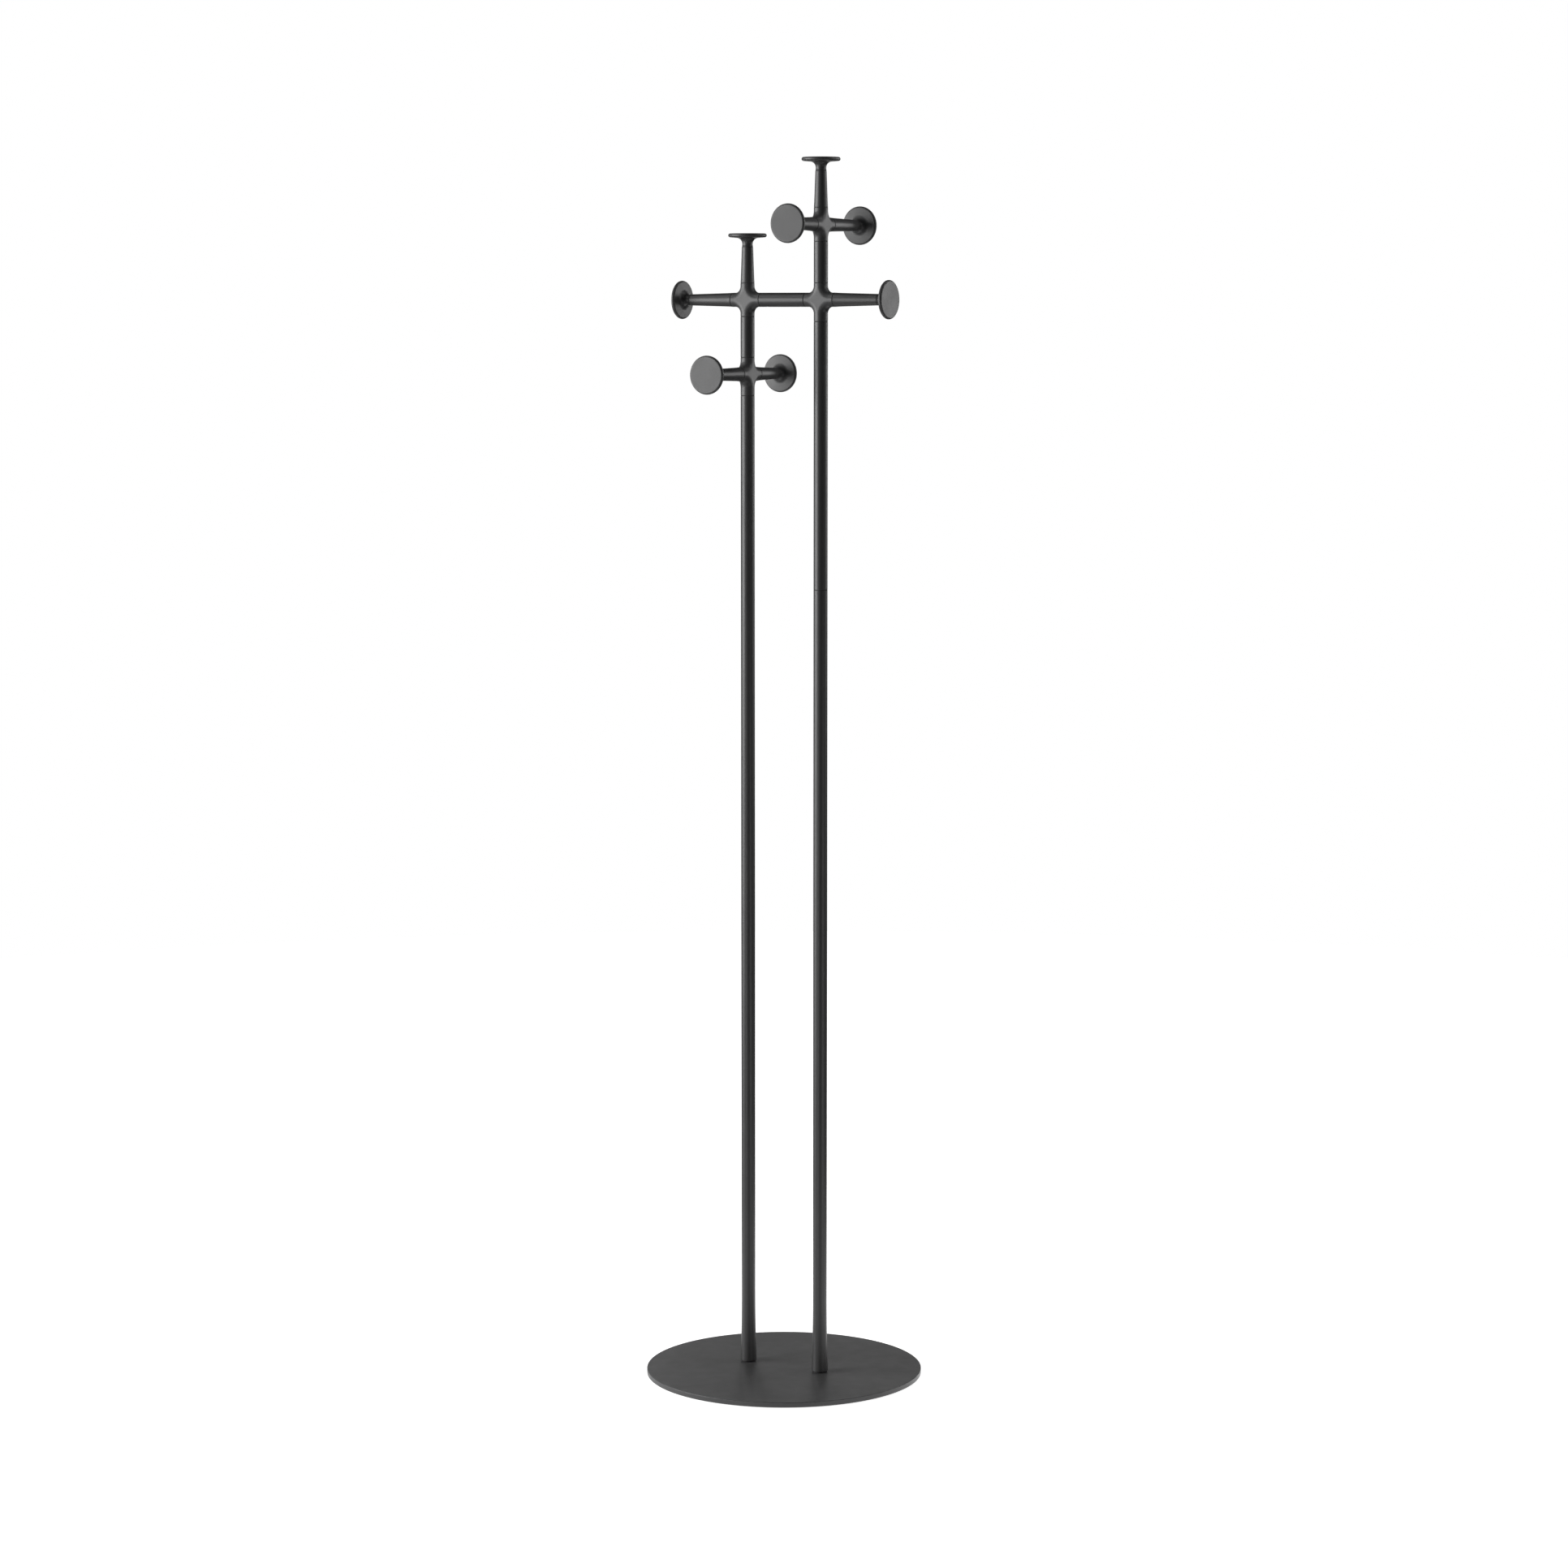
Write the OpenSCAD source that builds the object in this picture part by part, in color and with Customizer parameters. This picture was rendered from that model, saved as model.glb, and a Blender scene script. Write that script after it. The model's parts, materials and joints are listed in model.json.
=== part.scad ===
// Standing coat rack: two slim posts on a round plate, four cast crosses, one cross bar and
// eight trumpet-shaped hooks. Millimetres. The origin is on the floor under the middle of the
// plate, +Z is up, +X points from the shorter post to the taller one, -Y is the front.

/* [Base] */
// Diameter of the round base plate
plate_d = 380; // [320:5:420]
// Thickness of the base plate
plate_t = 7; // [6:0.5:12]
// Chamfer on the plate's upper and lower edge
plate_edge = 0.5; // [0.3:0.1:1]
// Height of the floor pads below the plate
pad_proud = 1; // [0.5:0.5:2]
// Diameter of a floor pad
pad_d = 20; // [14:1:30]
// Number of floor pads
pad_count = 6; // [3:1:8]

/* [Posts] */
// Distance between the two post axes
post_gap = 115; // [100:1:140]
// Outside diameter of the posts, links and cross bar
tube_d = 19; // [18:0.5:22]
// Wall of the tubes
tube_wall = 1.5; // [1.2:0.1:2]
// Outside diameter of a post at its foot
foot_d = 22.4; // [20:0.2:26]
// Height over which the foot flares
foot_flare_h = 110; // [60:5:150]
// Height of the thin washer under each foot
washer_t = 2; // [1:0.5:3]
// Height of the seam in the taller post above the floor
post_seam_z = 1089; // [900:1:1200]

/* [Crosses] */
// Height of the lowest cross above the floor
low_cross_z = 1378; // [1300:1:1400]
// Height from one level of crosses to the next
level_h = 100; // [90:1:120]
// Radius of the round inner corners between the arms of a cross
fillet_r = 9; // [7:0.5:12]
// Length of a cross arm from the middle of the cross
stub_len = 22.5; // [22:0.5:26]
// Length of the cross arms that stand on a post
post_stub_len = 29; // [26:0.5:34]

/* [Hooks] */
// Reach of a short hook from the post axis to the disc's face
short_reach = 89; // [80:1:100]
// Reach of a long hook from the post axis to the disc's face
long_reach = 107; // [100:1:130]
// Diameter of a hook disc
disc_d = 52; // [44:1:60]
// Thickness of a disc at its rim
disc_t = 5.2; // [4:0.2:7]
// Diameter of an arm where it meets the disc's neck
neck_d = 15.2; // [13:0.2:17]
// Smallest diameter of the neck behind a disc
waist_d = 14.2; // [12:0.2:15]
// Length of the flared neck, from the disc's face to its seam with the arm
neck_len = 18; // [16:0.5:22]
// Radius of the flare between neck and disc
flare_r = 8; // [6:0.5:9]

/* [Fasteners] */
// Diameter of the studs and screws in tubes, crosses and arm roots
stud_d = 8; // [6:1:8]
// Diameter of the studs between arms and discs
disc_stud_d = 5; // [4:1:6]
// Depth that a stud goes into a cross or an arm root
stud_bite = 11; // [9:1:11]
// Depth that a stud goes into a disc or an arm tip
disc_stud_bite = 9; // [7:1:11]
// Diameter of the grub screws under the cross bar
grub_d = 4; // [3:1:5]

/* [Hidden] */
$fn = 96;

coat = [0.045, 0.046, 0.050];
bright = [0.62, 0.63, 0.65];
black_steel = [0.10, 0.10, 0.11];
black_rubber = [0.08, 0.08, 0.08];

// Running clearance of a screw or plug in its hole, on the radius
slack = 0.05;
// Gap left at the bottom of a blind hole by its stud
end_gap = 0.5;
// Extra length of a cutting body, so that it leaves no skin
over = 1;

post_x = post_gap / 2;
tube_r = tube_d / 2;
bore_r = tube_r - tube_wall;
stud_r = stud_d / 2;
disc_stud_r = disc_stud_d / 2;
plate_top = pad_proud + plate_t;
foot_z = plate_top + washer_t;
mid_cross_z = low_cross_z + level_h;
top_cross_z = mid_cross_z + level_h;
corner_c = tube_r + fillet_r;

// Pads sit in shallow round pockets, on a ring near the plate's edge
pad_pocket = 1.5;
pad_ring_r = plate_d / 2 - 28;

// Countersunk base screws: their heads lie just inside the plate's underside
bolt_head_d = 16;
bolt_head_h = 4.4;
bolt_sunk = 0.4;
bolt_socket_d = 5.8;
bolt_socket_h = 3;
bolt_hole_r = stud_d / 2 + 0.4;
sink_d = bolt_head_d + 0.6;
sink_step = 0.3;
foot_plug_len = 32;
bolt_len = foot_plug_len - 4;

// The foot widens slowly at first and quickly at the end, by this power of the height left
foot_flare_power = 2.3;
foot_flare_steps = 12;
foot_plug_steps = 4;

// Threaded plugs in the tube ends
plug_len = 20;
stud_in_plug = plug_len - 2;
joiner_len = 90;
joiner_wall = 2.5;
spigot_len = 18;
grub_x = post_x - stub_len - spigot_len / 2;
grub_len = 6;
grub_sunk = 0.3;
grub_depth = 5;

// Hook arms taper in two steps: quickly beside the cross, then evenly to the neck
root_step = 8;
root_step_d = tube_d - 0.8;

// A disc has a rounded rim, a back that is dished towards its neck, and a waisted neck
rim_r = disc_t / 2 - 0.1;
dish = 0.7;
waist_rise = 1.6;

// Each hook is [post side, height of its cross, direction, reach]
LEFT = -1;
RIGHT = 1;
LEFT_HOOK = [LEFT, mid_cross_z, [0, -90, 0], long_reach];
RIGHT_HOOK = [RIGHT, mid_cross_z, [0, 90, 0], long_reach];
LEFT_TOP_HOOK = [LEFT, mid_cross_z, [0, 0, 0], short_reach];
RIGHT_TOP_HOOK = [RIGHT, top_cross_z, [0, 0, 0], short_reach];
UPPER_FRONT_HOOK = [RIGHT, top_cross_z, [90, 0, 0], short_reach];
UPPER_BACK_HOOK = [RIGHT, top_cross_z, [-90, 0, 0], long_reach];
LOWER_FRONT_HOOK = [LEFT, low_cross_z, [90, 0, 0], long_reach];
LOWER_BACK_HOOK = [LEFT, low_cross_z, [-90, 0, 0], short_reach];
HOOKS = [LEFT_HOOK, RIGHT_HOOK, LEFT_TOP_HOOK, RIGHT_TOP_HOOK,
         UPPER_FRONT_HOOK, UPPER_BACK_HOOK, LOWER_FRONT_HOOK, LOWER_BACK_HOOK];

// Each end where a tube meets a cross is [post side, height of the seam, tube below or above]
BELOW = 1;
ABOVE = -1;
TUBE_ENDS = [[LEFT, low_cross_z - post_stub_len, BELOW],
             [LEFT, low_cross_z + stub_len, ABOVE],
             [LEFT, mid_cross_z - stub_len, BELOW],
             [RIGHT, mid_cross_z - post_stub_len, BELOW],
             [RIGHT, mid_cross_z + stub_len, ABOVE],
             [RIGHT, top_cross_z - stub_len, BELOW]];

// Points on an arc about c, from angle a0 to a1
function arc(c, r, a0, a1, steps) =
    [for (i = [0:steps]) let (a = a0 + (a1 - a0) * i / steps) c + r * [cos(a), sin(a)]];

// Outside radius of a post at height h above its foot
function foot_radius(h) =
    tube_r + (foot_d / 2 - tube_r) * pow(1 - h / foot_flare_h, foot_flare_power);

// Points up a flared foot, on a skin that lies inset inside its outside, up to height top
function foot_side(inset, top, steps) =
    [for (i = [0:steps]) let (h = top * i / steps) [foot_radius(h) - inset, foot_z + h]];

// The same list from its end to its start
function reversed(list) = [for (i = [len(list) - 1:-1:0]) list[i]];

// Carries its children, drawn along +Z from the origin, out along a hook
module on_hook(h) translate([h[0] * post_x, 0, h[1]]) rotate(h[2]) children();

// A tube along +Z from z0 to z1
module tube(z0, z1) translate([0, 0, z0]) difference() {
    cylinder(r = tube_r, h = z1 - z0);
    translate([0, 0, -over]) cylinder(r = bore_r, h = z1 - z0 + 2 * over);
}

// A round plug along +Z with a threaded hole right through, drawn as its clear bore
module plug(z0, len, r) translate([0, 0, z0]) difference() {
    cylinder(r = r, h = len);
    translate([0, 0, -over]) cylinder(r = stud_r + slack, h = len + 2 * over);
}

module base_plate() color(coat) difference() {
    translate([0, 0, pad_proud]) rotate_extrude() polygon([
        [0, 0], [plate_d / 2 - plate_edge, 0], [plate_d / 2, plate_edge],
        [plate_d / 2, plate_t - plate_edge], [plate_d / 2 - plate_edge, plate_t], [0, plate_t]]);
    for (a = [0:pad_count - 1])
        rotate([0, 0, 360 * (a + 0.5) / pad_count]) translate([pad_ring_r, 0, pad_proud - over])
            cylinder(d = pad_d + 2 * slack, h = pad_pocket + over);
    for (s = [LEFT, RIGHT]) translate([s * post_x, 0, pad_proud]) {
        translate([0, 0, -over]) cylinder(r = bolt_hole_r, h = plate_t + 2 * over);
        translate([0, 0, -over]) cylinder(d = sink_d, h = over + sink_step);
        translate([0, 0, sink_step]) cylinder(d1 = sink_d, d2 = 2 * bolt_hole_r, h = bolt_head_h);
    }
}

module floor_pads() color(black_rubber)
    for (a = [0:pad_count - 1])
        rotate([0, 0, 360 * (a + 0.5) / pad_count]) translate([pad_ring_r, 0, 0])
            cylinder(d = pad_d, h = pad_proud + pad_pocket);

// Countersunk socket screws: cone head, shank, and a hexagon socket in the head
module base_bolts() color(black_steel)
    for (s = [LEFT, RIGHT]) translate([s * post_x, 0, pad_proud + bolt_sunk]) difference() {
        union() {
            cylinder(d1 = bolt_head_d, d2 = stud_d, h = bolt_head_h);
            cylinder(r = stud_r, h = bolt_len);
        }
        translate([0, 0, -over]) cylinder(d = bolt_socket_d, h = over + bolt_socket_h, $fn = 6);
    }

module foot_washers() color(black_steel)
    for (s = [LEFT, RIGHT]) translate([s * post_x, 0, plate_top]) difference() {
        cylinder(d = foot_d - 2, h = washer_t);
        translate([0, 0, -over]) cylinder(r = bolt_hole_r, h = washer_t + 2 * over);
    }

// A plug that fills the flared foot of a post, with a threaded hole for the base screw
module foot_plug(side) translate([side * post_x, 0, 0]) difference() {
    rotate_extrude() polygon(concat(
        [[0, foot_z]], foot_side(tube_wall + slack, foot_plug_len, foot_plug_steps),
        [[0, foot_z + foot_plug_len]]));
    translate([0, 0, foot_z - over])
        cylinder(r = stud_r + slack, h = foot_plug_len + 2 * over);
}

module left_foot_plug() color(bright) foot_plug(LEFT);
module right_foot_plug() color(bright) foot_plug(RIGHT);

// A post from its flared foot up to z1, one wall thick all the way
module post(side, z1) translate([side * post_x, 0, 0]) rotate_extrude() polygon(concat(
    foot_side(0, foot_flare_h, foot_flare_steps), [[tube_r, z1], [bore_r, z1]],
    reversed(foot_side(tube_wall, foot_flare_h, foot_flare_steps))));

module left_post() color(coat) post(LEFT, low_cross_z - post_stub_len);
module right_post_lower() color(coat) post(RIGHT, post_seam_z);
module right_post_upper() color(coat)
    translate([post_x, 0, 0]) tube(post_seam_z, mid_cross_z - post_stub_len);

module post_joiner() color(bright)
    translate([post_x, 0, post_seam_z - joiner_len / 2]) difference() {
        cylinder(r = bore_r - slack, h = joiner_len);
        translate([0, 0, -over]) cylinder(r = bore_r - joiner_wall, h = joiner_len + 2 * over);
    }

module left_link() color(coat)
    translate([-post_x, 0, 0]) tube(low_cross_z + stub_len, mid_cross_z - stub_len);
module right_link() color(coat)
    translate([post_x, 0, 0]) tube(mid_cross_z + stub_len, top_cross_z - stub_len);

// The bar between the middle crosses, with two small holes below for its grub screws
module cross_bar() color(coat) difference() {
    translate([0, 0, mid_cross_z]) rotate([0, 90, 0]) tube(stub_len - post_x, post_x - stub_len);
    for (s = [LEFT, RIGHT]) translate([s * grub_x, 0, mid_cross_z - tube_r - over])
        cylinder(d = grub_d + 2 * slack, h = tube_wall + 2 * over);
}

module bar_screws() color(black_steel)
    for (s = [LEFT, RIGHT])
        translate([s * grub_x, 0, mid_cross_z - tube_r + grub_sunk]) difference() {
            cylinder(d = grub_d, h = grub_len);
            translate([0, 0, -over]) cylinder(d = grub_d / 2, h = over + grub_len / 3, $fn = 6);
        }

// One quarter of a cross: a quarter ring whose inner half is round and whose outer half is
// flat, cut to the quarter's own corner. Four of them leave round inner corners outside and a
// flat diamond on each side.
module cross_quarter() intersection() {
    translate([corner_c, 0, corner_c]) rotate([90, 0, 0]) rotate([0, 0, 180])
        rotate_extrude(angle = 90) {
            intersection() {
                translate([corner_c, 0]) circle(r = tube_r);
                translate([0, -tube_r - over]) square([corner_c, tube_d + 2 * over]);
            }
            translate([corner_c, -tube_r]) square([corner_c, tube_d]);
        }
    translate([0, -tube_r - over, 0])
        cube([corner_c + over, tube_d + 2 * over, corner_c + over]);
}

// A cross with arms along +-X and +-Z of the given lengths [+X, +Z, -X, -Z]. A level arm may
// have a spigot, a reduced round end for a tube, with a hole below for its grub screw. The
// others have a threaded hole in the end.
module cross(lengths, spigots) difference() {
    union() for (i = [0:3]) rotate([0, -90 * i, 0]) {
        cross_quarter();
        translate([corner_c, 0, 0]) rotate([0, 90, 0]) {
            cylinder(r = tube_r, h = lengths[i] - corner_c);
            if (spigots[i])
                cylinder(r = bore_r - slack, h = lengths[i] + spigot_len - corner_c);
        }
    }
    for (i = [0:3])
        if (spigots[i])
            translate([(1 - i) * (lengths[i] + spigot_len / 2), 0, -bore_r - over])
                cylinder(d = grub_d + 2 * slack, h = over + grub_depth);
        else
            rotate([0, 90 - 90 * i, 0]) translate([0, 0, lengths[i] - stud_bite])
                cylinder(r = stud_r + slack, h = stud_bite + over);
}

module left_lower_cross() color(coat) translate([-post_x, 0, low_cross_z])
    rotate([0, 0, 90])
        cross([stub_len, stub_len, stub_len, post_stub_len], [false, false, false, false]);
module left_middle_cross() color(coat) translate([-post_x, 0, mid_cross_z])
    cross([stub_len, stub_len, stub_len, stub_len], [true, false, false, false]);
module right_middle_cross() color(coat) translate([post_x, 0, mid_cross_z])
    cross([stub_len, stub_len, stub_len, post_stub_len], [false, false, true, false]);
module right_top_cross() color(coat) translate([post_x, 0, top_cross_z])
    rotate([0, 0, 90])
        cross([stub_len, stub_len, stub_len, stub_len], [false, false, false, false]);

// A tapered hook arm, from the cross arm's end out to the disc's neck
module arm(h) on_hook(h) let (tip = h[3] - neck_len) difference() {
    rotate_extrude() polygon([
        [0, stub_len], [tube_r, stub_len], [root_step_d / 2, stub_len + root_step],
        [neck_d / 2, tip], [0, tip]]);
    translate([0, 0, stub_len - over]) cylinder(r = stud_r + slack, h = stud_bite + over);
    translate([0, 0, tip - disc_stud_bite])
        cylinder(r = disc_stud_r + slack, h = disc_stud_bite + over);
}

// A disc with its flared neck: a waisted neck, a round flare, a slightly dished back, a
// rounded rim and a flat face
module disc(h) on_hook(h) let (face = h[3], back = face - disc_t) difference() {
    rotate_extrude() polygon(concat(
        [[0, face - neck_len], [neck_d / 2, face - neck_len], [waist_d / 2, face - neck_len + waist_rise]],
        arc([waist_d / 2 + flare_r, back - dish - flare_r], flare_r, 180, 97, 12),
        arc([disc_d / 2 - rim_r, back + rim_r], rim_r, -84, 0, 8),
        arc([disc_d / 2 - rim_r, face - rim_r], rim_r, 0, 90, 8),
        [[0, face]]));
    translate([0, 0, face - neck_len - over])
        cylinder(r = disc_stud_r + slack, h = disc_stud_bite + over);
}

module left_arm() color(coat) arm(LEFT_HOOK);
module right_arm() color(coat) arm(RIGHT_HOOK);
module left_top_arm() color(coat) arm(LEFT_TOP_HOOK);
module right_top_arm() color(coat) arm(RIGHT_TOP_HOOK);
module upper_front_arm() color(coat) arm(UPPER_FRONT_HOOK);
module upper_back_arm() color(coat) arm(UPPER_BACK_HOOK);
module lower_front_arm() color(coat) arm(LOWER_FRONT_HOOK);
module lower_back_arm() color(coat) arm(LOWER_BACK_HOOK);

module left_disc() color(coat) disc(LEFT_HOOK);
module right_disc() color(coat) disc(RIGHT_HOOK);
module left_top_disc() color(coat) disc(LEFT_TOP_HOOK);
module right_top_disc() color(coat) disc(RIGHT_TOP_HOOK);
module upper_front_disc() color(coat) disc(UPPER_FRONT_HOOK);
module upper_back_disc() color(coat) disc(UPPER_BACK_HOOK);
module lower_front_disc() color(coat) disc(LOWER_FRONT_HOOK);
module lower_back_disc() color(coat) disc(LOWER_BACK_HOOK);

// Threaded plugs pressed into the tube ends that meet a cross
module tube_plugs() color(bright)
    for (e = TUBE_ENDS) translate([e[0] * post_x, 0, e[1]])
        plug(e[2] == BELOW ? -plug_len : 0, plug_len, bore_r - slack);

// Headless studs across each seam between tube and cross
module tube_studs() color(bright)
    for (e = TUBE_ENDS) translate([e[0] * post_x, 0, e[1]])
        translate([0, 0, e[2] == BELOW ? -stud_in_plug : -stud_bite + end_gap])
            cylinder(r = stud_r, h = stud_in_plug + stud_bite - end_gap);

module arm_studs() color(bright)
    for (h = HOOKS) on_hook(h) translate([0, 0, stub_len - stud_bite + end_gap])
        cylinder(r = stud_r, h = 2 * (stud_bite - end_gap));

module disc_studs() color(bright)
    for (h = HOOKS) on_hook(h)
        translate([0, 0, h[3] - neck_len - disc_stud_bite + end_gap])
            cylinder(r = disc_stud_r, h = 2 * (disc_stud_bite - end_gap));

base_plate();
floor_pads();
base_bolts();
foot_washers();
left_foot_plug();
right_foot_plug();
left_post();
right_post_lower();
right_post_upper();
post_joiner();
left_lower_cross();
left_middle_cross();
right_middle_cross();
right_top_cross();
left_link();
right_link();
cross_bar();
left_arm();
right_arm();
left_top_arm();
right_top_arm();
upper_front_arm();
upper_back_arm();
lower_front_arm();
lower_back_arm();
left_disc();
right_disc();
left_top_disc();
right_top_disc();
upper_front_disc();
upper_back_disc();
lower_front_disc();
lower_back_disc();
tube_plugs();
tube_studs();
arm_studs();
disc_studs();
bar_screws();
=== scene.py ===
"""The looks of a standing coat rack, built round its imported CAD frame.

Metres, +Z up, -Y is the front. Every piece is made at its place, so its object stays at the origin.
"""
import json
import math

import bmesh
import bpy
import numpy as np
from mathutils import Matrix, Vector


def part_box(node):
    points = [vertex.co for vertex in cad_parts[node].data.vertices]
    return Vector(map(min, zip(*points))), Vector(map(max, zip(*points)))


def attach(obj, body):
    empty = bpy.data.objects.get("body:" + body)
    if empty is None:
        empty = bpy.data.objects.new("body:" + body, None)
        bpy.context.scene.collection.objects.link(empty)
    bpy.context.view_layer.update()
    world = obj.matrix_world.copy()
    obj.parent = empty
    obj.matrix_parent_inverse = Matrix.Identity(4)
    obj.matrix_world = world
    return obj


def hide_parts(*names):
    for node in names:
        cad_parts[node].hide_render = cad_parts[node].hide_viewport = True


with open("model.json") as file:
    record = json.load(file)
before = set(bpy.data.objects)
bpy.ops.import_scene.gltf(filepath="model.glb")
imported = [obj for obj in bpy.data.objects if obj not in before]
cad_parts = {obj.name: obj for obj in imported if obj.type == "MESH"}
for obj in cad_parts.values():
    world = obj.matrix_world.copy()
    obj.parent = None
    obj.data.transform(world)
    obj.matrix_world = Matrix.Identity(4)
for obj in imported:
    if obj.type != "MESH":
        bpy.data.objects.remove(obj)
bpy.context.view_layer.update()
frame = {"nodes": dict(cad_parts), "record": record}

# --- Base plate ----------------------------------------------------------------------------------
# A round blank cut from 7 mm steel, with its edges eased, two countersunk holes for the post
# screws and six shallow pockets for the floor pads, then powder coated satin black all over.


def outline(corners, closed=False, steps=6, fade=0.002):
    """Points along a line of straight runs with rounded corners, as rows of (radius from the
    axis, place along it, wear and seam shade). Each corner is (radius, place, rounding, wear and
    seam shade). A rounding is an arc that touches both runs: with unit vectors a and b along the
    runs and t the angle between them, it starts rounding / tan(t / 2) from the corner. The wear
    and seam shade, 1 where the coat is rubbed and -1 in a seam painted dark for its dirt and for
    the shade in its gap, fades out `fade` beyond it, within what the two roundings of a run leave
    straight."""
    table = np.array(corners, float)
    places, count = table[:, :2], len(table)
    lengths = np.linalg.norm(np.roll(places, -1, axis=0) - places, axis=1)
    ways = (np.roll(places, -1, axis=0) - places) / np.maximum(lengths, 1e-9)[:, None]
    halves = np.arccos(np.clip(np.sum(-np.roll(ways, 1, axis=0) * ways, axis=1), -1.0, 1.0)) / 2.0
    inner = range(0 if closed else 1, count if closed else count - 1)
    reach = np.array([table[i, 2] / math.tan(halves[i]) if i in inner else 0.0
                      for i in range(count)])
    spare = np.maximum(lengths - reach - np.roll(reach, -1), 0.0)
    rows = [] if closed else [[*places[0], 0.0]]
    for i in inner:
        corner, a, b = places[i], -ways[i - 1], ways[i]
        rounding, wear = table[i, 2:]
        if rounding == 0.0:
            rows.append([*corner, wear])
            continue
        centre = corner + (a + b) / np.linalg.norm(a + b) * rounding / math.sin(halves[i])
        swing = math.pi - 2.0 * halves[i]
        share = np.linspace(0.0, 1.0, steps + 1)[:, None]
        start, end = corner + a * reach[i] - centre, corner + b * reach[i] - centre
        arc = (start * np.sin((1 - share) * swing) + end * np.sin(share * swing)) / math.sin(swing)
        before, after = reach[i] + np.minimum(fade, 0.4 * spare[[i - 1, i]])
        rows.append([*(corner + a * before), 0.0])
        rows.extend([*(centre + point), wear] for point in arc)
        rows.append([*(corner + b * after), 0.0])
    if not closed:
        rows.append([*places[-1], 0.0])
    return np.array(rows)


def turned(rows, sides, start, direction=(0, 0, 1), closed=False):
    """Grid of a surface of revolution. Row i is a circle of radius rows[i, 0] round the axis, at
    rows[i, 1] along it from `start`; `closed` joins the last row to the first, as in a tube."""
    along = np.array(direction, float)
    across = np.roll(along, 1)
    turn = np.linspace(0.0, 2.0 * np.pi, sides, endpoint=False)[:, None]
    spokes = np.cos(turn) * across + np.sin(turn) * np.cross(along, across)
    points = np.array(start) + rows[:, None, 1:2] * along + rows[:, None, :1] * spokes[None]
    return points, np.repeat(rows[:, 2:3], sides, axis=1), closed, True


MERGE_DISTANCE = 2e-6


def merge(mesh, face_outwards=False):
    """Merges the points of a mesh that coincide, and turns its faces outwards if asked to."""
    work = bmesh.new()
    work.from_mesh(mesh)
    bmesh.ops.remove_doubles(work, verts=work.verts, dist=MERGE_DISTANCE)
    if face_outwards:
        bmesh.ops.recalc_face_normals(work, faces=work.faces)
    work.to_mesh(mesh)
    work.free()


def mesh_of(name, grids):
    """One mesh from grids of (points[rows, columns, 3], wear and painted seam shade[rows,
    columns], rows close up, columns close up). Neighbours in a grid make a quad. Points that
    coincide are merged, which closes the poles and joins the grids, and the faces are then
    turned outwards."""
    points, faces, wear, first = [], [], [], 0
    for grid, grid_wear, rows_close, columns_close in grids:
        rows, columns = grid.shape[:2]
        i, j = np.meshgrid(np.arange(rows - (not rows_close)),
                           np.arange(columns - (not columns_close)), indexing="ij")
        below, beside = (i + 1) % rows, (j + 1) % columns
        ring = [i * columns + j, i * columns + beside,
                below * columns + beside, below * columns + j]
        faces.append(np.stack(ring, axis=-1).reshape(-1, 4) + first)
        points.append(grid.reshape(-1, 3))
        wear.append(grid_wear.ravel())
        first += rows * columns
    mesh = bpy.data.meshes.new(name)
    mesh.from_pydata(np.concatenate(points).tolist(), [], np.concatenate(faces).tolist())
    mesh.attributes.new("wear", "FLOAT", "POINT")
    mesh.attributes["wear"].data.foreach_set("value", np.concatenate(wear).astype(np.float32))
    merge(mesh, face_outwards=True)
    return mesh


SHARP_EDGE = math.radians(35.0)


def piece(node, grids, material, holes=()):
    """A finished piece that stands for a CAD node: the closed mesh of `grids`, less the solids of
    `holes`, shaded smooth between edges sharper than SHARP_EDGE."""
    made = bpy.data.objects.new("finished_" + node, mesh_of(node, grids))
    bpy.context.scene.collection.objects.link(made)
    if holes:
        drill = bpy.data.objects.new("drill", mesh_of("drill", holes))
        bpy.context.scene.collection.objects.link(drill)
        cut = made.modifiers.new("cut", "BOOLEAN")
        cut.operation, cut.solver, cut.object = "DIFFERENCE", "EXACT", drill
        finished = made.evaluated_get(bpy.context.evaluated_depsgraph_get())
        uncut, made.data = made.data, bpy.data.meshes.new_from_object(finished)
        made.modifiers.clear()
        bpy.data.objects.remove(drill)
        bpy.data.meshes.remove(uncut)
        merge(made.data)
    made.data.materials.clear()
    made.data.materials.append(material)
    made.data.shade_smooth()
    made.data.set_sharp_from_angle(angle=SHARP_EDGE)
    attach(made, "root")
    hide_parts(node)
    return made


def add_node(tree, kind, inputs, **settings):
    """A shader node with its settings; `inputs` gives each named or numbered socket a value or
    the output socket that feeds it."""
    made = tree.nodes.new(kind)
    for key, value in settings.items():
        setattr(made, key, value)
    for key, value in inputs.items():
        if isinstance(value, bpy.types.NodeSocket):
            tree.links.new(value, made.inputs[key])
        else:
            made.inputs[key].default_value = value
    return made


def mixed(tree, share, a, b):
    """Colour a where share is 0 and b where it is 1."""
    made = add_node(tree, "ShaderNodeMix", {}, data_type="RGBA")
    for socket, value in zip((made.inputs[0], made.inputs[6], made.inputs[7]), (share, a, b)):
        if isinstance(value, bpy.types.NodeSocket):
            tree.links.new(value, socket)
        else:
            socket.default_value = value
    return made.outputs[2]


def sum_of(tree, a, b, operation="ADD"):
    """a and b added, or combined by another operation of the Math node."""
    return add_node(tree, "ShaderNodeMath", {0: a, 1: b}, operation=operation).outputs[0]


def ranged(tree, value, low, high, to_low, to_high, smooth=False):
    """value carried from the range low to high to the range to_low to to_high, and held there."""
    inputs = {"Value": value, "From Min": low, "From Max": high,
              "To Min": to_low, "To Max": to_high}
    kind = "SMOOTHSTEP" if smooth else "LINEAR"
    return add_node(tree, "ShaderNodeMapRange", inputs, interpolation_type=kind).outputs[0]


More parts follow.
